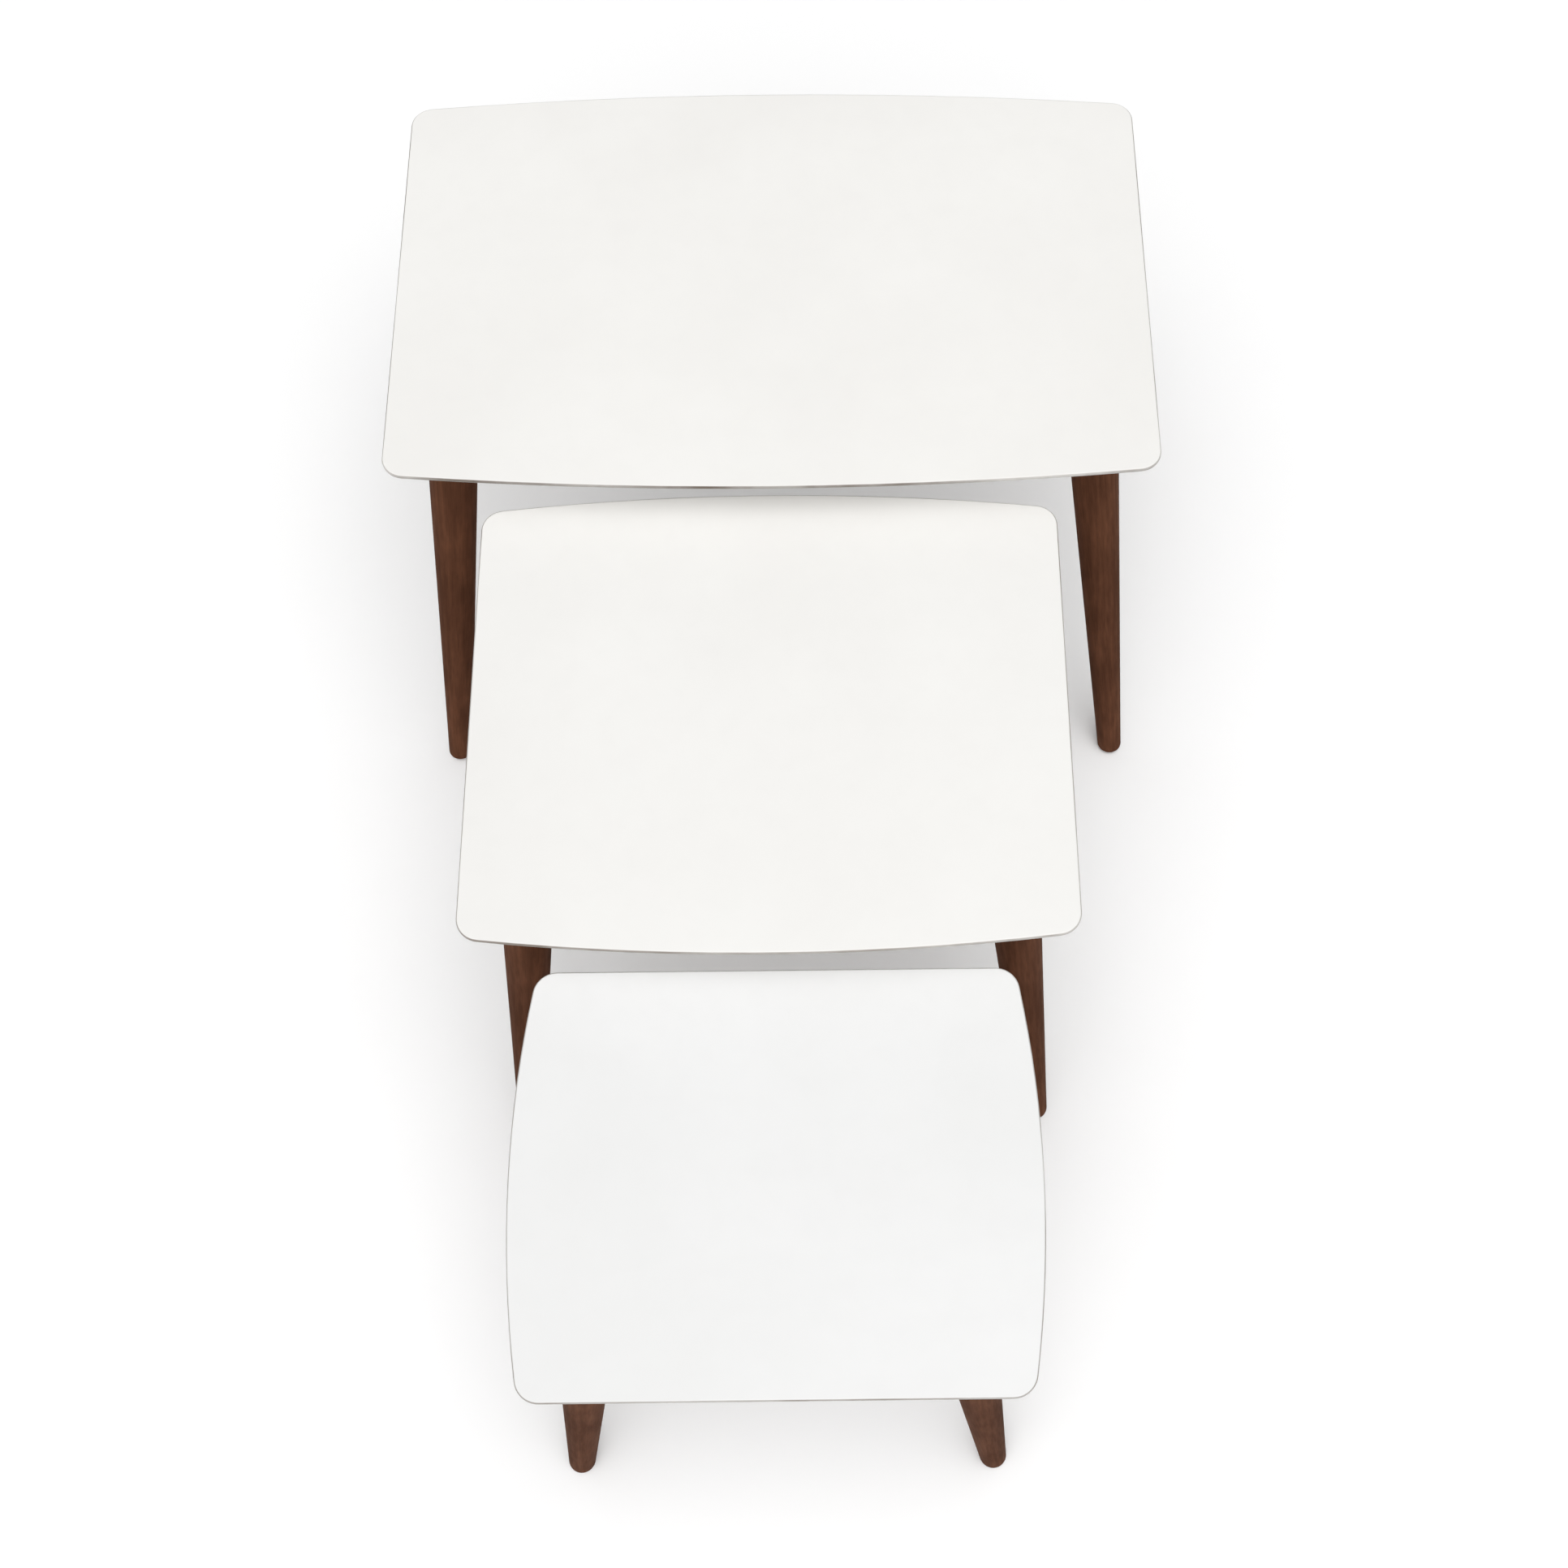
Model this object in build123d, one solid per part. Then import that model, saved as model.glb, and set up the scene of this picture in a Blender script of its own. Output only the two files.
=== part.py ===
from build123d import *
from math import sqrt
import os

# A nest of three tables: one design in three sizes, standing pulled apart on the floor.
# Millimetres. X runs along the large table, Y runs away from the front, Z is up and the
# floor is z = 0. The origin is on the floor, in the middle of the whole arrangement.

# Tops
board = 18            # thickness of a top
lip = 3               # height of the thin upright edge
bevel_run = 24        # width of the sloping underside behind the edge
bow = 14              # how far a long side bulges at its middle
corner_radius = 18    # rounding of a top's corners
under_radius = 8      # rounding of the corners of the flat underside
rim_round = 1.5       # rounding of the upper edge
lip_round = 1         # rounding between the upright edge and the sloping underside

# Legs
leg_top_radius = 20.7
leg_foot_radius = 11.2
foot_round = 3        # rounding of a leg's lower end
glide_radius = 7.5
glide_height = 3
glide_pin_radius = 1.2
glide_pin_length = 14

# Rails
rail_width = 18
side_rail_height = 36   # under the short sides
slim_rail_height = 22   # under the long sides, where the next top passes below
rail_round = 1.5        # rounding of the two lower edges

# Corner blocks, measured from the inner corner of the two rails
block_near = 14         # along each rail to the face beside the leg
block_far = 46          # along each rail to the face away from the leg
block_height = 20
block_chamfer = 1.5     # around the lower face

# Fixings
bolt_radius = 3
bolt_hole_radius = 3.3
bolt_depth = 12         # thread held by the leg
bolt_level = 12         # below the underside of the top
washer_radius = 6
washer_height = 1.2
nut_flats = 10
nut_height = 5
bolt_end = 3            # thread standing past the nut
screw_radius = 2
screw_head_radius = 4
screw_head_height = 2.2
screw_depth = 11        # thread held by the top
screw_spread = 13       # each side of the leg bolt
dowel_radius = 4
dowel_in_rail = 16
dowel_in_leg = 8
dowel_level = 8         # upper dowel, below the underside of the top
dowel_pitch = 18        # down to the second dowel of a side rail

# The three sizes: length over the straight short sides, depth at the corners, height,
# leg axis in from the edges at the top, and how far a foot stands out from there along
# the length (run_x) and the depth (run_y).
sizes = {
    "large": dict(length=610, depth=363, height=480, inset=50, run_x=64, run_y=64),
    "middle": dict(length=458, depth=360, height=434, inset=48, run_x=49, run_y=62),
    "small": dict(length=312, depth=357, height=386, inset=44, run_x=39, run_y=41),
}

# Places of the tables on the floor: X, Y and turn about Z. The two smaller tables are
# pulled out to the front, and the small one is turned a quarter.
large_y = 335
middle_pull = 368
small_pull = 714
places = {
    "large": (0, large_y, 0),
    "middle": (-3, large_y - middle_pull, 0),
    "small": (1, large_y - small_pull, 90),
}

corners = {
    "front_left": (-1, -1),
    "front_right": (1, -1),
    "back_left": (-1, 1),
    "back_right": (1, 1),
}


def outline(length, depth, radius):
    """A face with straight short sides, bowed long sides and round corners."""
    x = length / 2
    y = depth / 2
    right = Line((x, -y), (x, y))
    back = ThreePointArc((x, y), (0, y + bow), (-x, y))
    left = Line((-x, y), (-x, -y))
    front = ThreePointArc((-x, -y), (0, -y - bow), (x, -y))
    face = make_face([right, back, left, front])
    return fillet(face.vertices(), radius)


def underside(size):
    """Height of the flat underside of a top."""
    return size["height"] - board


def leg_point(size, corner):
    """Where a leg's axis meets the underside of the top."""
    x = corner[0] * (size["length"] / 2 - size["inset"])
    y = corner[1] * (size["depth"] / 2 - size["inset"])
    return Vector(x, y, underside(size))


def foot_point(size, corner):
    """Where a leg's axis meets the floor."""
    out = Vector(corner[0] * size["run_x"], corner[1] * size["run_y"], -underside(size))
    return leg_point(size, corner) + out


def top_panel(size):
    """The top: a thin upright edge with rounded rims, over a wide sloping underside."""
    height = size["height"]
    edge = outline(size["length"], size["depth"], corner_radius)
    flat_length = size["length"] - 2 * bevel_run
    flat = outline(flat_length, size["depth"] - 2 * bevel_run, under_radius)
    slab = extrude(Pos(0, 0, height - lip) * edge, lip)
    bevel = loft([Pos(0, 0, height - board) * flat, Pos(0, 0, height - lip) * edge], ruled=True)
    body = slab + bevel
    lower_rim = body.edges().filter_by(Plane.XY).group_by(Axis.Z)[1]
    body = fillet(lower_rim, lip_round)
    upper_rim = body.edges().group_by(Axis.Z)[-1]
    return fillet(upper_rim, rim_round)


def leg(size, corner):
    """A splayed, tapered leg, cut level under the top and above the glide."""
    top = leg_point(size, corner)
    foot = foot_point(size, corner)
    axis = top - foot
    spare = leg_top_radius
    growth = (leg_top_radius - leg_foot_radius) / axis.length
    low = foot - axis.normalized() * spare
    cone = Cone(
        leg_foot_radius - growth * spare,
        leg_top_radius + growth * spare,
        axis.length + 2 * spare,
        align=(Align.CENTER, Align.CENTER, Align.MIN),
    )
    cone = Plane(origin=low, z_dir=axis) * cone
    room = size["length"]
    slab_height = underside(size) - glide_height
    slab = Box(2 * room, 2 * room, slab_height, align=(Align.CENTER, Align.CENTER, Align.MIN))
    body = cone & (Pos(0, 0, glide_height) * slab)
    return fillet(body.edges().sort_by(Axis.Z)[0], foot_round)


def foot_centre(size, corner):
    """Middle of the leg's level lower end."""
    top = leg_point(size, corner)
    foot = foot_point(size, corner)
    return foot + (top - foot) * (glide_height / underside(size))


def glide(size, corner):
    """A round pad under a leg, with the pin that is driven up into the wood."""
    centre = foot_centre(size, corner)
    base = Pos(centre.X, centre.Y, 0)
    low = (Align.CENTER, Align.CENTER, Align.MIN)
    pad = Cylinder(glide_radius, glide_height, align=low)
    pin = Cylinder(glide_pin_radius, glide_height + glide_pin_length, align=low)
    return base * (pad + pin)


def rail(size, along_x, side):
    """A rail between two legs, before its ends are cut to the legs."""
    x = size["length"] / 2 - size["inset"]
    y = size["depth"] / 2 - size["inset"]
    high = (Align.CENTER, Align.CENTER, Align.MAX)
    if along_x:
        bar = Box(2 * x, rail_width, slim_rail_height, align=high)
        bar = fillet(bar.edges().filter_by(Axis.X).group_by(Axis.Z)[0], rail_round)
        return Pos(0, side * y, underside(size)) * bar
    bar = Box(rail_width, 2 * y, side_rail_height, align=high)
    bar = fillet(bar.edges().filter_by(Axis.Y).group_by(Axis.Z)[0], rail_round)
    return Pos(side * x, 0, underside(size)) * bar


def corner_frame(size, corner):
    """A plane at the inner corner of two rails: X points in, away from the leg."""
    point = leg_point(size, corner)
    half = rail_width / 2
    origin = point - Vector(corner[0] * half, corner[1] * half, 0)
    return Plane(origin=origin, x_dir=(-corner[0], -corner[1], 0), z_dir=(0, 0, 1))


def corner_block(size, corner):
    """A block with its grain across the corner, glued to both rails."""
    near = block_near / sqrt(2)
    far = block_far / sqrt(2)
    sketch = Polygon((near, -near), (far, -far), (far, far), (near, near), align=None)
    block = extrude(sketch, -block_height)
    block = chamfer(block.edges().group_by(Axis.Z)[0], block_chamfer)
    return corner_frame(size, corner) * block


def bolt_line(size, corner, start, length, radius):
    """A rod on the leg bolt's axis; start is counted from the corner of the rails."""
    rod = Cylinder(radius, length, align=(Align.CENTER, Align.CENTER, Align.MIN))
    rod = Pos(start, 0, -bolt_level) * Rot(0, 90, 0) * rod
    return corner_frame(size, corner) * rod


# Distances along the bolt's axis, from the inner corner of the rails
leg_axis = -rail_width / sqrt(2)
bolt_tip = leg_axis + leg_top_radius - bolt_depth
block_out = block_far / sqrt(2)
nut_start = block_out + washer_height
bolt_length = nut_start + nut_height + bolt_end - bolt_tip


def leg_bolt(size, corner):
    """A hanger bolt: one end in the leg, the other through the block."""
    return bolt_line(size, corner, bolt_tip, bolt_length, bolt_radius)


def bolt_washer(size, corner):
    """A flat washer between the block and the nut."""
    disc = bolt_line(size, corner, block_out, washer_height, washer_radius)
    return disc - bolt_line(size, corner, block_out, washer_height, bolt_hole_radius)


def bolt_nut(size, corner):
    """The hex nut that pulls the leg against the rails."""
    hexagon = RegularPolygon(nut_flats / 2, 6, major_radius=False)
    nut = Pos(nut_start, 0, -bolt_level) * Rot(0, 90, 0) * extrude(hexagon, nut_height)
    return corner_frame(size, corner) * nut - leg_bolt(size, corner)


def top_screws(size, corner):
    """Two screws up through the block into the top, one each side of the bolt."""
    middle = (block_near + block_far) / 2 / sqrt(2)
    low = (Align.CENTER, Align.CENTER, Align.MIN)
    screws = []
    for side in (-1, 1):
        shank = Cylinder(screw_radius, block_height + screw_depth, align=low)
        head = Cylinder(screw_head_radius, screw_head_height, align=low)
        screw = shank + Pos(0, 0, -screw_head_height) * head
        place = corner_frame(size, corner) * Pos(middle, side * screw_spread, -block_height)
        screws.append(place * screw)
    return screws


def dowels(size, corner):
    """Dowels from the two rails into one leg: one in the slim rail, two in the side rail."""
    point = leg_point(size, corner)
    length = dowel_in_rail + dowel_in_leg
    rods = []
    rod = Cylinder(dowel_radius, length)
    inward = leg_top_radius + (dowel_in_rail - dowel_in_leg) / 2
    slim_x = point.X - corner[0] * inward
    rods.append(Pos(slim_x, point.Y, point.Z - dowel_level) * Rot(0, 90, 0) * rod)
    side_y = point.Y - corner[1] * inward
    for level in (dowel_level, dowel_level + dowel_pitch):
        rods.append(Pos(point.X, side_y, point.Z - level) * Rot(90, 0, 0) * rod)
    return rods


def cut(body, tools):
    """Take each tool away from a body."""
    for tool in tools:
        body = body - tool
    return body


def table(name, size):
    """All the pieces of one table, by node name, standing on its own centre."""
    points = corners.values()
    legs = {key: leg(size, corner) for key, corner in corners.items()}
    bolts = [leg_bolt(size, corner) for corner in points]
    washers = [bolt_washer(size, corner) for corner in points]
    nuts = [bolt_nut(size, corner) for corner in points]
    screws = [screw for corner in points for screw in top_screws(size, corner)]
    rods = [rod for corner in points for rod in dowels(size, corner)]
    glides = [glide(size, corner) for corner in points]
    holes = [bolt_line(size, c, 0, 2 * block_far, bolt_hole_radius) for c in points]
    rails = {
        "left_rail": rail(size, False, -1),
        "right_rail": rail(size, False, 1),
        "front_rail": rail(size, True, -1),
        "back_rail": rail(size, True, 1),
    }
    nodes = {"top": cut(top_panel(size), screws)}
    for key, bar in rails.items():
        nodes[key] = cut(bar, list(legs.values()) + rods)
    for key, corner in corners.items():
        nodes[key + "_leg"] = cut(legs[key], bolts + rods + glides)
        nodes[key + "_block"] = cut(corner_block(size, corner), holes + screws)
    nodes["leg_bolts"] = bolts
    nodes["bolt_washers"] = washers
    nodes["bolt_nuts"] = nuts
    nodes["top_screws"] = screws
    nodes["rail_dowels"] = rods
    nodes["glides"] = glides
    return {name + "_" + key: node for key, node in nodes.items()}


def solids(node):
    """The separate solids of a node, as a list."""
    if isinstance(node, list):
        return [solid for piece in node for solid in piece.solids()]
    return node.solids()


os.makedirs("parts", exist_ok=True)
for name, size in sizes.items():
    x, y, turn = places[name]
    place = Pos(x, y, 0) * Rot(0, 0, turn)
    for key, node in table(name, size).items():
        found = [place * solid for solid in solids(node)]
        shape = found[0] if len(found) == 1 else Compound(found)
        export_step(shape, "parts/" + key + ".step")
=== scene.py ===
from math import cos, floor, pi, radians, sin

import bmesh
import bpy
from mathutils import Matrix, Vector


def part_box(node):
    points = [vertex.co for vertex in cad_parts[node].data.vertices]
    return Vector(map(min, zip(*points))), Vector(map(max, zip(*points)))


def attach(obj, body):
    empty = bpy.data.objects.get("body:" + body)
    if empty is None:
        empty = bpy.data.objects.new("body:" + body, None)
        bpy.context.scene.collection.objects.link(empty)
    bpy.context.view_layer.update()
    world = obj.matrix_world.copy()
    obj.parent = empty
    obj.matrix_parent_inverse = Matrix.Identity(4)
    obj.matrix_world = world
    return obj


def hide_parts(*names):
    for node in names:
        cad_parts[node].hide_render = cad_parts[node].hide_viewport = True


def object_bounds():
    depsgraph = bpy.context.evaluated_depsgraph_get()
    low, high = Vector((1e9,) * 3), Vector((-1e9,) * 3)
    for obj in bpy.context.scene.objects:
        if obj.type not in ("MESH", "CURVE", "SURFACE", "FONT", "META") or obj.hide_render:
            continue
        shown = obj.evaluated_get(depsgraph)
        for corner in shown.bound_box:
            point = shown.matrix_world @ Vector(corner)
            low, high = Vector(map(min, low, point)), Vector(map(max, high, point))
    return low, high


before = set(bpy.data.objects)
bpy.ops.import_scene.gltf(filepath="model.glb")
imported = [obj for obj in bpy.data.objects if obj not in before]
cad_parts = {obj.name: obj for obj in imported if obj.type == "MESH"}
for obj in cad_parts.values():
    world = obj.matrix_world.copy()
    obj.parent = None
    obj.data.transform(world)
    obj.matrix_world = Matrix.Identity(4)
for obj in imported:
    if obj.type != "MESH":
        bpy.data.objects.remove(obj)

# Looks of a nest of three tables: lacquered tops, turned walnut legs, beech blocks and the
# fixings under each top. Lengths are metres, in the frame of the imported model.

cad_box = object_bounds()
scene = bpy.context.scene
tables = ("large", "middle", "small")
corners = ("front_left", "front_right", "back_left", "back_right")
sides = ("left", "right", "front", "back")
up = Vector((0, 0, 1))

# Legs
leg_top_radius = 0.0207
leg_foot_radius = 0.0112
scuffed_length = 0.025      # up from the foot

# Fixings, which get their real shape here
bolt_pitch = 0.001          # machine thread
bolt_core = 0.0025
bolt_point = 0.003          # length of the point at the end held by the leg
leg_pitch = 0.0022          # wood thread, between the point and the plain middle
leg_thread_end = 0.012
shank_end = 0.020           # where the machine thread begins
run_out = 0.0008            # over which a bolt's thread fades out
thread_gap = 0.0005         # between a thread and a point or neck
washer_hole = 0.0033
nut_bore = 0.0029
nut_flats = 0.010
nut_face = 0.96             # radius of a nut's end face, as a share of half its flats
nut_slope = 1.7             # how fast the turned corners widen from the face
screw_shank = 0.002
screw_core = 0.0014
screw_pitch = 0.0014
screw_neck = 0.010          # plain length under a screw's head
head_height = 0.0022
recess_arm = 0.0023         # half the length of a cross recess
recess_half = 0.00055       # half the width of its arms
recess_depth = 0.0015
dowel_flutes = 20
flute_swing = 0.035         # of a flute about its mean, as a share of the radius
dowel_chamfer = 0.0012
pad_height = 0.003
nail_radius = 0.0012
nail_start = 0.001          # inside the pad
nail_ring = 0.001           # from one ring of the nail to the next
nail_rings = 9
tip_length = 0.0035         # the plain, pointed end of a screw or nail
merge_distance = 0.000001
sharp_angle = radians(35)

# Studio light: a wide lobe high in front, an even fill, a glow along the horizon and one
# weak softbox above. A larger focus makes a narrower lobe or glow.
key_direction = Vector((-0.03, -0.5, 0.86))
key_focus = 5.0
key_strength = 2.6
fill_strength = 0.35
horizon_strength = 0.65
horizon_focus = 6.0
softbox_place = (0.25, -0.4, 2.9)
softbox_side = 1.2
softbox_power = 14          # watts
floor_reach = 80.0

# Camera: high in front of the nest, looking steeply down
camera_place = (0.0397, -0.7365, 1.8768)
camera_pitch = radians(65.964)
camera_turn = radians(0.658)
camera_lens = 48.285        # millimetres
camera_shift = -0.0331


# ---------------------------------------------------------------- shader nodes

def new_material(name):
    """A material with only its shader and its output."""
    material = bpy.data.materials.new(name)
    material.use_nodes = True
    tree = material.node_tree
    shader = next(item for item in tree.nodes if item.type == "BSDF_PRINCIPLED")
    return material, tree, shader


def math(tree, operation, first, second):
    """A math node over two values, each a socket or a number."""
    made = tree.nodes.new("ShaderNodeMath")
    made.operation = operation
    for socket, value in zip(made.inputs, (first, second)):
        if isinstance(value, (int, float)):
            socket.default_value = value
        else:
            tree.links.new(value, socket)
    return made.outputs["Value"]


def remap(tree, source, low, high, to_low=0.0, to_high=1.0):
    """Map a value's range low..high to another range, clamped."""
    made = tree.nodes.new("ShaderNodeMapRange")
    names = ("From Min", "From Max", "To Min", "To Max")
    for name, value in zip(names, (low, high, to_low, to_high)):
        made.inputs[name].default_value = value
    tree.links.new(source, made.inputs["Value"])
    return made.outputs["Result"]


def ramp(tree, source, stops):
    """A colour ramp over (position, colour) stops."""
    made = tree.nodes.new("ShaderNodeValToRGB")
    elements = made.color_ramp.elements
    while len(elements) < len(stops):
        elements.new(1.0)
    for element, (position, colour) in zip(elements, stops):
        element.position = position
        element.color = (*colour, 1)
    tree.links.new(source, made.inputs["Fac"])
    return made.outputs["Color"]


def mix(tree, factor, first, second):
    """Mix two colours, each a socket or a tuple."""
    made = tree.nodes.new("ShaderNodeMix")
    made.data_type = "RGBA"
    tree.links.new(factor, made.inputs["Factor"])
    colours = [socket for socket in made.inputs if socket.type == "RGBA"]
    for socket, value in zip(colours, (first, second)):
        if isinstance(value, tuple):
            socket.default_value = (*value, 1)
        else:
            tree.links.new(value, socket)
    return next(socket for socket in made.outputs if socket.type == "RGBA")


def noise(tree, place, scale, detail=4.0, roughness=0.55):
    """Fractal noise, from 0 to 1."""
    made = tree.nodes.new("ShaderNodeTexNoise")
    made.inputs["Scale"].default_value = scale
    made.inputs["Detail"].default_value = detail
    made.inputs["Roughness"].default_value = roughness
    tree.links.new(place, made.inputs["Vector"])
    return made.outputs["Fac"]


def stretched(tree, place, scale):
    """Coordinates scaled by a factor along each axis."""
    made = tree.nodes.new("ShaderNodeMapping")
    made.inputs["Scale"].default_value = scale
    tree.links.new(place, made.inputs["Vector"])
    return made.outputs["Vector"]


def object_place(tree):
    return tree.nodes.new("ShaderNodeTexCoord").outputs["Object"]


def along_axis(tree, origin, axis):
    """Object coordinates turned so that Z runs along an axis from a point."""
    made = tree.nodes.new("ShaderNodeMapping")
    made.vector_type = "TEXTURE"
    made.inputs["Location"].default_value = origin
    made.inputs["Rotation"].default_value = axis.to_track_quat("Z", "Y").to_euler()
    tree.links.new(object_place(tree), made.inputs["Vector"])
    return made.outputs["Vector"]


def component(tree, vector, axis):
    made = tree.nodes.new("ShaderNodeSeparateXYZ")
    tree.links.new(vector, made.inputs["Vector"])
    return made.outputs[axis]


def scaled(colour, factor):
    return tuple(factor * value for value in colour)


def bump(tree, shader, height, strength, distance, before=None):
    """Bump on top of an earlier bump, if there is one."""
    made = tree.nodes.new("ShaderNodeBump")
    made.inputs["Strength"].default_value = strength
    made.inputs["Distance"].default_value = distance
    tree.links.new(height, made.inputs["Height"])
    if before:
        tree.links.new(before, made.inputs["Normal"])
    tree.links.new(made.outputs["Normal"], shader.inputs["Normal"])
    return made.outputs["Normal"]


# ---------------------------------------------------------------- materials

def shaded_rim_of(tree):
    """1 on the steep rim of a top, where shade is painted, 0 on its level face and on the bevel under
    it.
    """
    normal = tree.nodes.new("ShaderNodeTexCoord").outputs["Normal"]
    level = component(tree, normal, "Z")
    below_face = remap(tree, level, 0.97, 0.82)
    above_bevel = remap(tree, level, -0.6, -0.3)
    return math(tree, "MULTIPLY", below_face, above_bevel)


def lacquer(name, light, dull, rim_shade_and_wear):
    """Satin white lacquer: faint clouds, orange peel, dust specks and a darker rim, which is painted
    shade broken up in patches like rubbed wear.
    """
    material, tree, shader = new_material(name)
    place = object_place(tree)
    cloud = noise(tree, place, 5.0, 3.0)
    mottle = noise(tree, place, 60.0, 5.0)
    tone = mix(tree, remap(tree, cloud, 0.35, 0.65), dull, light)
    tone = mix(tree, remap(tree, mottle, 0.45, 0.75, 0.0, 0.12), tone, scaled(dull, 0.93))
    # Painted shade on the rim: a dark tone on the steep rim, broken up in patches like rubbed wear.
    rim_shade_patches = remap(tree, noise(tree, place, 9.0, 5.0), 0.35, 0.65, 0.45, 1.0)
    tone = mix(tree, math(tree, "MULTIPLY", shaded_rim_of(tree), rim_shade_patches), tone, rim_shade_and_wear)
    tree.links.new(tone, shader.inputs["Base Color"])
    smear = noise(tree, stretched(tree, place, (2.0, 9.0, 2.0)), 7.0, 5.0)
    tree.links.new(remap(tree, smear, 0.3, 0.7, 0.38, 0.48), shader.inputs["Roughness"])
    shader.inputs["Specular IOR Level"].default_value = 0.35
    peel = bump(tree, shader, noise(tree, place, 420.0, 2.0), 0.08, 0.0002)
    grit = tree.nodes.new("ShaderNodeTexVoronoi")
    grit.inputs["Scale"].default_value = 500.0
    tree.links.new(place, grit.inputs["Vector"])
    speck = remap(tree, grit.outputs["Distance"], 0.0, 0.1, 1.0, 0.0)
    bump(tree, shader, speck, 0.05, 0.0001, peel)
    return material


def along_grain(tree, place, share):
    """Coordinates in which a pattern is drawn out along the grain, Z."""
    return stretched(tree, place, (1.0, 1.0, share))


def growth_rings(tree, place):
    """Rings around the grain, their middle wandering along the piece."""
    wander = noise(tree, stretched(tree, place, (6.0, 6.0, 1.2)), 1.4, 3.0)
    push = tree.nodes.new("ShaderNodeCombineXYZ")
    tree.links.new(remap(tree, wander, 0.0, 1.0, 0.018, 0.05), push.inputs["X"])
    tree.links.new(remap(tree, wander, 0.0, 1.0, -0.01, 0.012), push.inputs["Y"])
    bent = tree.nodes.new("ShaderNodeVectorMath")
    bent.operation = "ADD"
    tree.links.new(along_grain(tree, place, 0.05), bent.inputs[0])
    tree.links.new(push.outputs["Vector"], bent.inputs[1])
    rings = tree.nodes.new("ShaderNodeTexWave")
    rings.wave_type = "RINGS"
    rings.rings_direction = "Z"
    for key, value in (("Scale", 62.0), ("Distortion", 3.0), ("Detail", 3.0), ("Detail Scale", 1.5)):
        rings.inputs[key].default_value = value
    tree.links.new(bent.outputs["Vector"], rings.inputs["Vector"])
    return rings.outputs["Fac"]


def wood_figure(tree, place, fibres):
    """Faint rings, fibres, flecks and broad bands, each with its share of the figure."""
    fleck = noise(tree, along_grain(tree, place, 0.18), 130.0, 4.0)
    broad = noise(tree, along_grain(tree, place, 0.3), 26.0, 3.0)
    figure = math(tree, "MULTIPLY", growth_rings(tree, place), 0.05)
    for part, share in ((fibres, 0.25), (fleck, 0.30), (broad, 0.45)):
        figure = math(tree, "ADD", figure, math(tree, "MULTIPLY", part, share))
    return figure


def scuffed_foot(tree, place, colour, foot, tone):
    """Paler scuffs over the last of a leg, which ends at foot along its axis."""
    near = remap(tree, component(tree, place, "Z"), foot - scuffed_length, foot)
    scuff = remap(tree, noise(tree, place, 110.0, 6.0, 0.7), 0.54, 0.68, 0.0, 0.35)
    return mix(tree, math(tree, "MULTIPLY", near, scuff), colour, tone)


def wood(name, origin, axis, kind, foot=None):
    """Wood with its grain along an axis from a point.

    kind is one of the woods below. foot is how far along the axis a leg ends, where it is
    scuffed."""
    tones, pores, gloss = kind
    material, tree, shader = new_material(name)
    place = along_axis(tree, origin, axis)
    fibres = noise(tree, along_grain(tree, place, 0.05), 760.0, 5.0, 0.6)
    figure = wood_figure(tree, place, fibres)
    levels = (0.42, 0.53, 0.64)
    colour = ramp(tree, figure, tuple(zip(levels, tones)))
    streak = noise(tree, along_grain(tree, place, 0.025), 1300.0, 2.0, 0.5)
    pore = remap(tree, streak, 0.60, 0.70, 0.0, pores)
    colour = mix(tree, pore, colour, scaled(tones[0], 0.5))
    if foot:
        colour = scuffed_foot(tree, place, colour, foot, scaled(tones[2], 1.6))
    tree.links.new(colour, shader.inputs["Base Color"])
    dull = remap(tree, figure, levels[0], levels[2], gloss[1], gloss[0])
    tree.links.new(dull, shader.inputs["Roughness"])
    shader.inputs["Specular IOR Level"].default_value = 0.01
    grain = bump(tree, shader, fibres, 0.18, 0.0002)
    bump(tree, shader, remap(tree, streak, 0.60, 0.70, 1.0, 0.0), 0.3, 0.0002, grain)
    return material


def plated_steel(name, colour, tint):
    """Plated steel: cloudy colour and roughness, with fine scratches."""
    material, tree, shader = new_material(name)
    place = object_place(tree)
    cloud = noise(tree, place, 160.0, 4.0)
    tone = mix(tree, remap(tree, cloud, 0.35, 0.65), colour, tint)
    tree.links.new(tone, shader.inputs["Base Color"])
    shader.inputs["Metallic"].default_value = 1.0
    tree.links.new(remap(tree, cloud, 0.3, 0.7, 0.24, 0.42), shader.inputs["Roughness"])
    scratch = noise(tree, stretched(tree, place, (1.0, 1.0, 0.1)), 2400.0, 3.0)
    bump(tree, shader, scratch, 0.2, 0.00005)
    return material


def nylon(name):
    """Dark brown nylon with a slightly mottled, scuffed surface."""
    material, tree, shader = new_material(name)
    place = object_place(tree)
    cloud = noise(tree, place, 300.0, 5.0)
    tone = mix(tree, remap(tree, cloud, 0.4, 0.7), (0.012, 0.009, 0.007), (0.035, 0.027, 0.022))
    tree.links.new(tone, shader.inputs["Base Color"])
    tree.links.new(remap(tree, cloud, 0.3, 0.7, 0.45, 0.65), shader.inputs["Roughness"])
    bump(tree, shader, noise(tree, place, 1800.0, 2.0), 0.2, 0.0001)
    return material


# The light and dull tones of each top, and the dark tone painted on its rim as shade, with some rubbed
# wear
whites = {
    "large": ((0.778, 0.770, 0.748), (0.752, 0.742, 0.720), (0.13, 0.105, 0.085)),
    "middle": ((0.768, 0.761, 0.741), (0.745, 0.736, 0.716), (0.16, 0.13, 0.105)),
    "small": ((0.742, 0.742, 0.739), (0.720, 0.720, 0.714), (0.25, 0.225, 0.20)),
}

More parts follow.
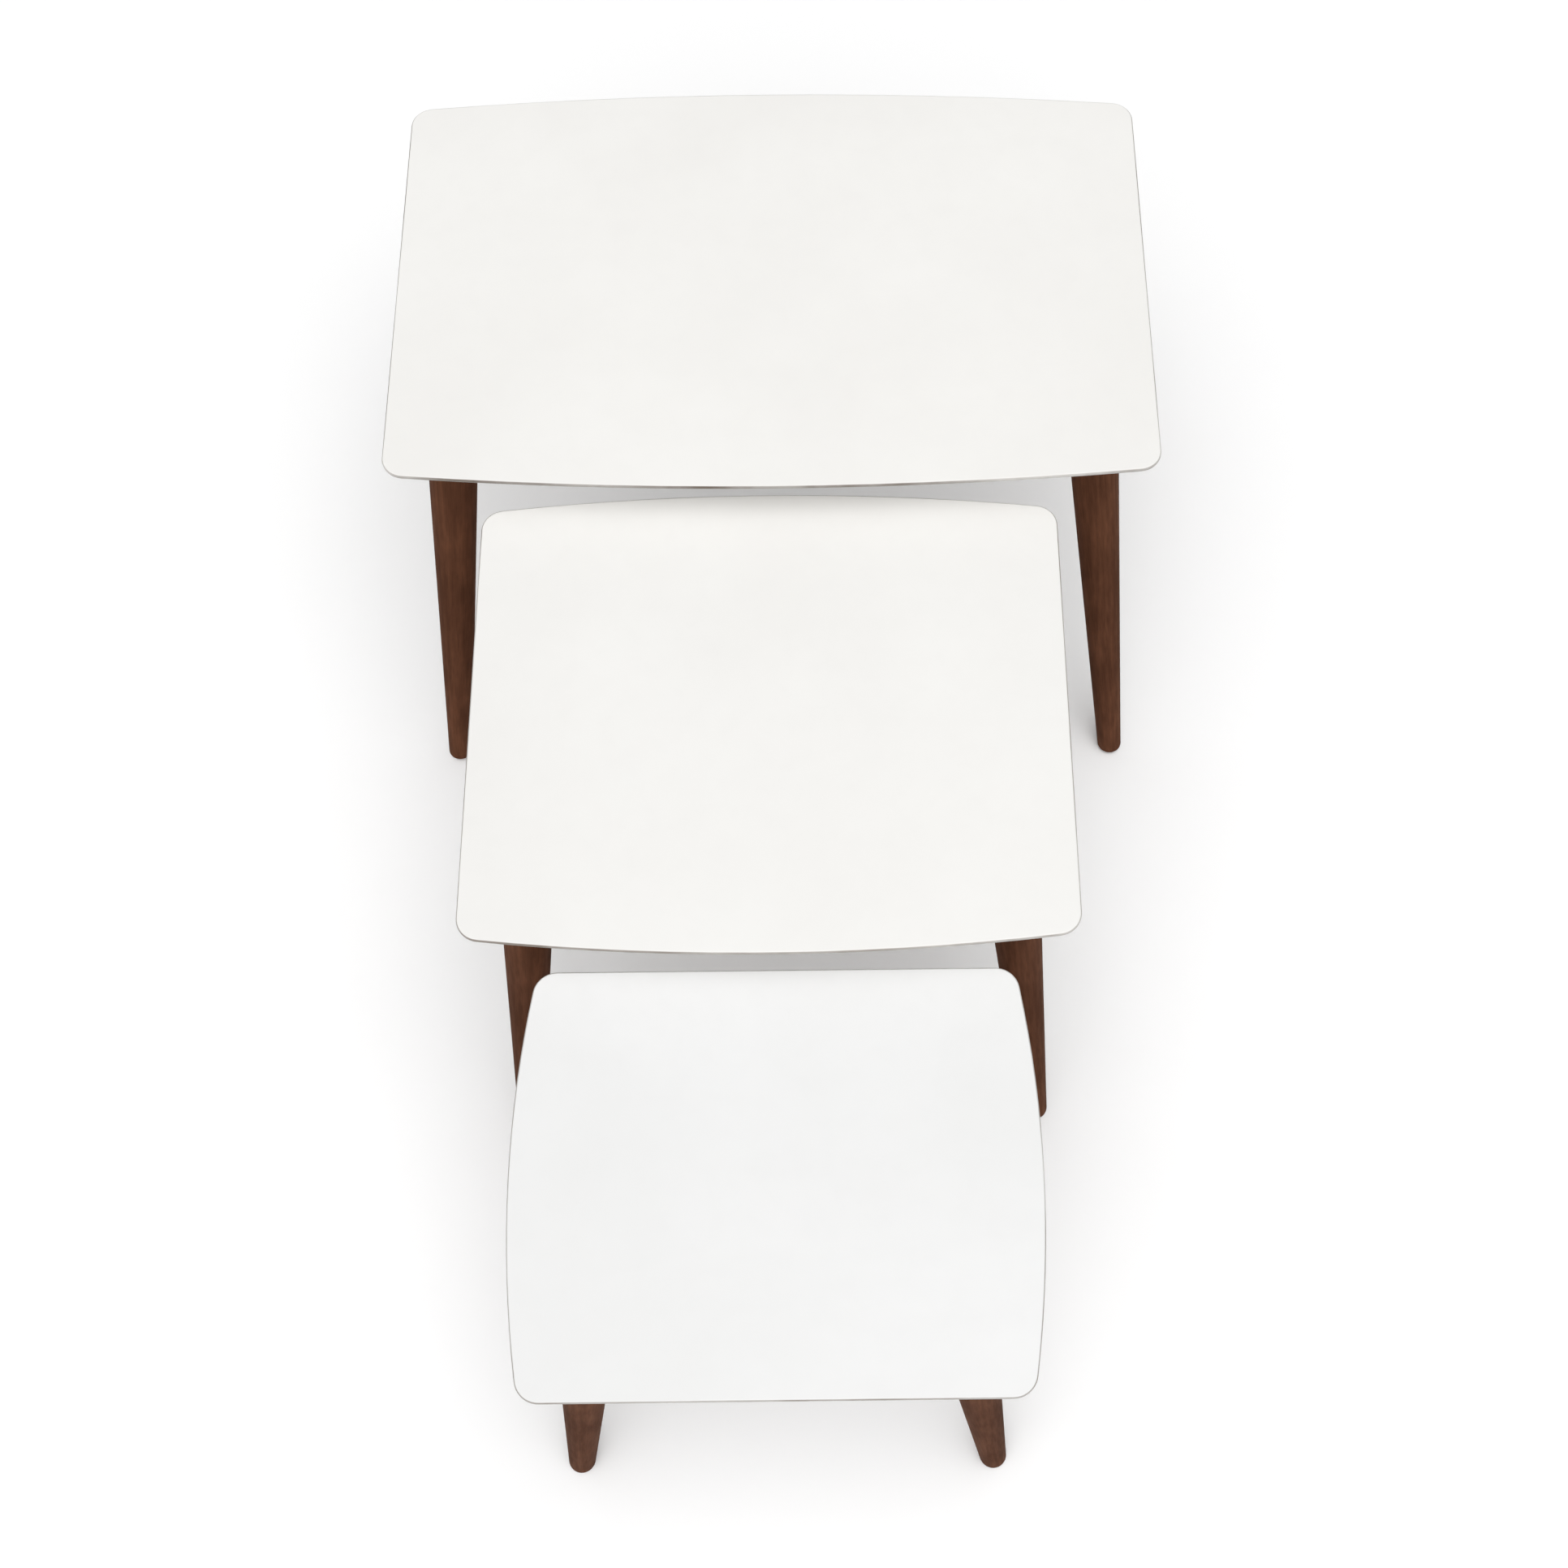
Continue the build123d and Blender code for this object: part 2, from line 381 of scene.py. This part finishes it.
# A wood's dark, middle and light tones, the strength of its pores, and its lowest and
# highest roughness
walnut = (
    ((0.068, 0.0275, 0.0148), (0.092, 0.0378, 0.0203), (0.122, 0.0500, 0.0262)),
    0.18,
    (0.56, 0.68),
)
beech = (
    ((0.46, 0.28, 0.15), (0.56, 0.36, 0.21), (0.64, 0.44, 0.27)),
    0.2,
    (0.55, 0.70),
)

zinc = plated_steel("zinc_steel", (0.55, 0.56, 0.58), (0.68, 0.69, 0.70))
yellow_zinc = plated_steel("yellow_zinc", (0.62, 0.47, 0.20), (0.72, 0.62, 0.38))
glide_nylon = nylon("glide_nylon")


# ---------------------------------------------------------------- CAD nodes

def cad(name):
    return bpy.data.objects[name]


def centre(name):
    low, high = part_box(name)
    return (low + high) / 2


def set_material(piece, material):
    piece.data.materials.clear()
    piece.data.materials.append(material)


def leg_ends(table, corner):
    """The ends of a leg's axis: under the top, and at its lower end."""
    low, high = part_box(f"{table}_{corner}_leg")
    middle = centre(f"{table}_top")
    top = Vector((0, 0, high.z))
    foot = Vector((0, 0, low.z))
    for axis in (0, 1):
        outward = (low[axis] + high[axis]) / 2 > middle[axis]
        inner, outer = (low[axis], high[axis]) if outward else (high[axis], low[axis])
        sign = 1 if outward else -1
        top[axis] = inner + sign * leg_top_radius
        foot[axis] = outer - sign * leg_foot_radius
    return top, foot


def dress_leg(table, corner):
    name = f"{table}_{corner}_leg"
    top, foot = leg_ends(table, corner)
    axis = foot - top
    set_material(cad(name), wood(name, top, axis, walnut, axis.length))


def dress_rail(table, side):
    name = f"{table}_{side}_rail"
    low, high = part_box(name)
    size = high - low
    along = Vector((1, 0, 0)) if size.x > size.y else Vector((0, 1, 0))
    set_material(cad(name), wood(name, low, along, walnut))


def dress_block(table, corner):
    """A corner block, its grain running across the corner."""
    name = f"{table}_{corner}_block"
    place = centre(name)
    inward = centre(f"{table}_top") - place
    along = Vector((1, -1, 0)) if inward.x * inward.y > 0 else Vector((1, 1, 0))
    set_material(cad(name), wood(name, place, along, beech))


# ---------------------------------------------------------------- round meshes

def even(radius):
    """A ring of one radius."""
    return lambda angle: radius


def helix(height, pitch, core, crest):
    """A ring of a screw thread at a height."""
    def radius(angle):
        turn = height / pitch - angle / (2 * pi)
        part = turn - floor(turn)
        return core + (crest - core) * (1 - abs(2 * part - 1))
    return radius


def thread(start, end, pitch, core, crest):
    """The rings of a thread from start to end, four to a turn."""
    count = int((end - start) / pitch * 4)
    heights = [start + (end - start) * step / count for step in range(count + 1)]
    return [(height, helix(height, pitch, core, crest)) for height in heights]


def skin(rings, segments, bore=False):
    """A closed mesh over rings (height, radius of angle): capped, or with a bore."""
    work = bmesh.new()
    loops = []
    for height, radius in rings:
        angles = [2 * pi * step / segments for step in range(segments)]
        loops.append([work.verts.new((radius(a) * cos(a), radius(a) * sin(a), height)) for a in angles])
    pairs = list(zip(loops, loops[1:]))
    if bore:
        pairs.append((loops[-1], loops[0]))
    for lower, upper in pairs:
        for step in range(segments):
            after = (step + 1) % segments
            work.faces.new((lower[step], lower[after], upper[after], upper[step]))
    if not bore:
        work.faces.new(reversed(loops[0]))
        work.faces.new(loops[-1])
    return work


def round_rings(shape, radius=1.0):
    """Rings from (height, share of a radius) pairs."""
    return [(height, even(radius * share)) for height, share in shape]


# ---------------------------------------------------------------- shapes of the fixings
# Each starts at z = 0 and stands along +Z. All are given the CAD solid's length and radius,
# and some use the values named at the top instead of one or both.

def hanger_bolt(length, radius):
    """Wood thread from the pointed end, a plain middle and a machine thread."""
    rings = round_rings([(0.0, 0.15), (bolt_point, 0.7)], bolt_core)
    rings += thread(bolt_point + thread_gap, leg_thread_end, leg_pitch, bolt_core * 0.85, radius)
    rings += round_rings([(leg_thread_end + run_out, 1), (shank_end - run_out, 1)], radius)
    rings += thread(shank_end, length - run_out, bolt_pitch, bolt_core, radius)
    rings += round_rings([(length, 0.95)], bolt_core)
    return skin(rings, 20)


def washer(length, radius):
    """A flat washer with eased edges."""
    ease = length * 0.22
    outer = [(0, radius - ease), (ease, radius), (length - ease, radius), (length, radius - ease)]
    wide = washer_hole + ease
    inner = [(length, wide), (length - ease, washer_hole), (ease, washer_hole), (0, wide)]
    return skin(round_rings(outer + inner), 48, bore=True)


def hex_nut(length, radius):
    """A hex nut, its corners turned off at both faces."""
    half = nut_flats / 2

    def hexagon(height):
        cone = half * nut_face + nut_slope * min(height, length - height)
        return lambda angle: min(cone, half / cos((angle + pi / 6) % (pi / 3) - pi / 6))

    steps = (0, 0.0002, 0.0004, 0.0006, 0.0008)
    heights = list(steps) + [length - step for step in reversed(steps)]
    rings = [(height, hexagon(height)) for height in heights]
    bore = [(length, 1.12), (length - 0.0005, 1), (0.0005, 1), (0, 1.12)]
    return skin(rings + round_rings(bore, nut_bore), 72, bore=True)


def wood_screw(length, radius):
    """A pan-head screw, its head at the lower end and its point up."""
    dome = [(0, 0.55), (0.0002, 0.72), (0.0005, 0.86), (0.0009, 0.95), (0.0014, 1), (head_height, 1)]
    neck_end = head_height + screw_neck
    rings = round_rings(dome, radius)
    rings += round_rings([(head_height, 1), (neck_end, 1)], screw_shank)
    tip = length - tip_length
    rings += thread(neck_end + thread_gap, tip - thread_gap, screw_pitch, screw_core, screw_shank)
    rings += round_rings([(tip, 1), (length, 0.15)], screw_core)
    return skin(rings, 24)


def fluted_dowel(length, radius):
    """A beech dowel with glue flutes and chamfered ends."""
    def flute(angle):
        return radius * (1 - flute_swing + flute_swing * cos(dowel_flutes * angle))

    narrow = even(radius - dowel_chamfer)
    rings = [(0, narrow), (dowel_chamfer, flute), (length - dowel_chamfer, flute), (length, narrow)]
    return skin(rings, 4 * dowel_flutes)


def glide_pad(length, radius):
    """The nylon pad of a glide: a slightly domed sole and a rounded edge."""
    shape = [(0, 0.70), (0.0001, 0.80), (0.0004, 0.91), (0.0009, 0.975), (0.0016, 1), (0.0026, 0.985)]
    return skin(round_rings(shape + [(pad_height, 0.94)], radius), 48)


def glide_nail(length, radius):
    """The ringed nail of a glide, from inside the pad up to its point."""
    shape = [(nail_start, 1)]
    for step in range(nail_rings):
        height = pad_height + nail_ring * step
        shape += [(height, 1), (height + 0.7 * nail_ring, 0.84)]
    shape += [(length - tip_length, 1), (length, 0.1)]
    return skin(round_rings(shape, nail_radius), 20)


def cross_recess(length, radius):
    """The cutter of a cross recess: a plus-shaped prism that narrows into the head."""
    work = bmesh.new()
    quarter = [(recess_arm, -recess_half), (recess_arm, recess_half), (recess_half, recess_half)]
    loops = []
    for height, share in ((-0.0003, 1.0), (recess_depth, 0.5)):
        loop = []
        for turn in range(4):
            spin = Matrix.Rotation(turn * pi / 2, 3, "Z")
            loop += [work.verts.new(spin @ Vector((x * share, y * share, height))) for x, y in quarter]
        loops.append(loop)
    lower, upper = loops
    for step, vertex in enumerate(lower):
        after = (step + 1) % len(lower)
        work.faces.new((vertex, lower[after], upper[after], upper[step]))
    work.faces.new(reversed(lower))
    work.faces.new(upper)
    return work


# ---------------------------------------------------------------- placing the fixings

def solids_of(name):
    """The points of each separate solid of a CAD node, one list to a solid."""
    work = bmesh.new()
    work.from_mesh(cad(name).data)
    bmesh.ops.remove_doubles(work, verts=work.verts, dist=merge_distance)
    work.verts.index_update()
    work.verts.ensure_lookup_table()
    left = set(range(len(work.verts)))
    found = []
    while left:
        group = {min(left)}
        edge = set(group)
        while edge:
            near = {e.other_vert(work.verts[i]).index for i in edge for e in work.verts[i].link_edges}
            edge = near - group
            group |= edge
        left -= group
        found.append([work.verts[i].co.copy() for i in sorted(group)])
    work.free()
    return found


def axis_place(points, axis):
    """A frame at the lower end of a round solid with Z along its axis, its length and radius."""
    turn = axis.to_track_quat("Z", "Y").to_matrix()
    local = [turn.transposed() @ point for point in points]
    low = Vector([min(point[k] for point in local) for k in range(3)])
    high = Vector([max(point[k] for point in local) for k in range(3)])
    start = turn @ Vector(((low.x + high.x) / 2, (low.y + high.y) / 2, low.z))
    return Matrix.Translation(start) @ turn.to_4x4(), high.z - low.z, (high.x - low.x) / 2


# The axis of a fixing, from its table and the points of its solid

def towards_middle(table, points):
    """The diagonal from a corner towards the middle of the table."""
    inward = centre(f"{table}_top") - sum(points, Vector()) / len(points)
    return Vector((1 if inward.x > 0 else -1, 1 if inward.y > 0 else -1, 0))


def upward(table, points):
    return up


def longest(table, points):
    """The axis along which a straight solid is longest."""
    spans = [max(p[k] for p in points) - min(p[k] for p in points) for k in range(3)]
    axis = Vector()
    axis[spans.index(max(spans))] = 1
    return axis


def one_mesh(name, table, node, axis_of, shape):
    """A shape at every solid of a CAD node, as one mesh."""
    joined = bmesh.new()
    for points in solids_of(f"{table}_{node}"):
        place, length, radius = axis_place(points, axis_of(table, points))
        work = shape(length, radius)
        work.transform(place)
        part = bpy.data.meshes.new("part")
        work.to_mesh(part)
        work.free()
        joined.from_mesh(part)
        bpy.data.meshes.remove(part)
    bmesh.ops.recalc_face_normals(joined, faces=joined.faces)
    mesh = bpy.data.meshes.new(name)
    joined.to_mesh(mesh)
    joined.free()
    piece = bpy.data.objects.new(name, mesh)
    scene.collection.objects.link(piece)
    return piece


def cut_away(piece, cutter):
    """Cut a shape from a piece, once and for all."""
    cut = piece.modifiers.new("cut", "BOOLEAN")
    cut.operation = "DIFFERENCE"
    cut.solver = "EXACT"
    cut.object = cutter
    bpy.context.view_layer.update()
    shown = piece.evaluated_get(bpy.context.evaluated_depsgraph_get())
    mesh = bpy.data.meshes.new_from_object(shown)
    piece.modifiers.clear()
    piece.data = mesh
    bpy.data.objects.remove(cutter)


def finish_piece(piece, table, material):
    """Shade a piece smooth but for its sharp edges, and make it ride on its table."""
    set_material(piece, material)
    for polygon in piece.data.polygons:
        polygon.use_smooth = True
    piece.data.set_sharp_from_angle(angle=sharp_angle)
    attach(piece, f"{table}_table")


def fit_fixings(table):
    """Every fixing of a table, each kind one piece that stands for its CAD node."""
    dowel_beech = wood(f"{table}_dowels", centre(f"{table}_top"), Vector((1, 0, 0)), beech)
    kinds = (
        ("hanger_bolts", "leg_bolts", towards_middle, hanger_bolt, zinc, "zinc_steel"),
        ("flat_washers", "bolt_washers", towards_middle, washer, zinc, "zinc_steel"),
        ("hex_nuts", "bolt_nuts", towards_middle, hex_nut, zinc, "zinc_steel"),
        ("pan_screws", "top_screws", upward, wood_screw, yellow_zinc, "yellow_zinc"),
        ("fluted_dowels", "rail_dowels", longest, fluted_dowel, dowel_beech, "beech"),
        ("glide_pads", "glides", upward, glide_pad, glide_nylon, "glide_plastic"),
        ("glide_nails", "glides", upward, glide_nail, zinc, "zinc_steel"),
    )
    for kind, node, axis_of, shape, material, slot in kinds:
        piece = one_mesh(f"{table}_{kind}", table, node, axis_of, shape)
        if shape is wood_screw:
            cut_away(piece, one_mesh("recess", table, node, axis_of, cross_recess))
        finish_piece(piece, table, material)
        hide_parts(f"{table}_{node}")


# ---------------------------------------------------------------- stage, light and camera

def make_floor():
    mesh = bpy.data.meshes.new("floor")
    points = [(x * floor_reach, y * floor_reach, 0) for x, y in ((-1, -1), (1, -1), (1, 1), (-1, 1))]
    mesh.from_pydata(points, [], [(0, 1, 2, 3)])
    sheet = bpy.data.objects.new("floor", mesh)
    scene.collection.objects.link(sheet)
    material, tree, shader = new_material("pale_floor")
    tone = mix(tree, noise(tree, object_place(tree), 3.0, 2.0), (0.93, 0.93, 0.93), (0.95, 0.95, 0.95))
    tree.links.new(tone, shader.inputs["Base Color"])
    shader.inputs["Roughness"].default_value = 0.9
    shader.inputs["Specular IOR Level"].default_value = 0.05
    mesh.materials.append(material)


def make_world():
    """The lobe high in front, the fill and the glow along the horizon."""
    world = bpy.data.worlds.new("studio")
    world.use_nodes = True
    tree = world.node_tree
    back = next(item for item in tree.nodes if item.type == "BACKGROUND")
    place = tree.nodes.new("ShaderNodeTexCoord").outputs["Generated"]
    facing = tree.nodes.new("ShaderNodeVectorMath")
    facing.operation = "DOT_PRODUCT"
    facing.inputs[1].default_value = key_direction.normalized()
    tree.links.new(place, facing.inputs[0])
    near = math(tree, "MAXIMUM", facing.outputs["Value"], 0.0)
    glow = math(tree, "MULTIPLY", math(tree, "POWER", near, key_focus), key_strength)
    height = math(tree, "MAXIMUM", component(tree, place, "Z"), 0.0)
    low = math(tree, "POWER", math(tree, "SUBTRACT", 1.0, height), horizon_focus)
    sky = math(tree, "ADD", glow, math(tree, "MULTIPLY", low, horizon_strength))
    tree.links.new(math(tree, "ADD", sky, fill_strength), back.inputs["Strength"])
    back.inputs["Color"].default_value = (1, 1, 1, 1)
    scene.world = world


def make_softbox():
    """A square softbox that points at the middle of the nest."""
    light = bpy.data.lights.new("softbox", "AREA")
    light.shape = "SQUARE"
    light.size = softbox_side
    light.energy = softbox_power
    lamp = bpy.data.objects.new("softbox", light)
    lamp.location = softbox_place
    target = (cad_box[0] + cad_box[1]) / 2
    lamp.rotation_euler = (target - Vector(softbox_place)).to_track_quat("-Z", "Y").to_euler()
    scene.collection.objects.link(lamp)


def make_camera():
    lens = bpy.data.cameras.new("camera")
    lens.lens = camera_lens
    lens.shift_x = camera_shift
    camera = bpy.data.objects.new("camera", lens)
    camera.location = camera_place
    camera.rotation_euler = (pi / 2 - camera_pitch, 0, -camera_turn)
    scene.collection.objects.link(camera)
    scene.camera = camera


for table in tables:
    set_material(cad(f"{table}_top"), lacquer(f"{table}_top", *whites[table]))
    for corner in corners:
        dress_leg(table, corner)
        dress_block(table, corner)
    for side in sides:
        dress_rail(table, side)
    fit_fixings(table)

make_floor()
make_world()
make_softbox()
make_camera()
scene.view_settings.view_transform = "Standard"
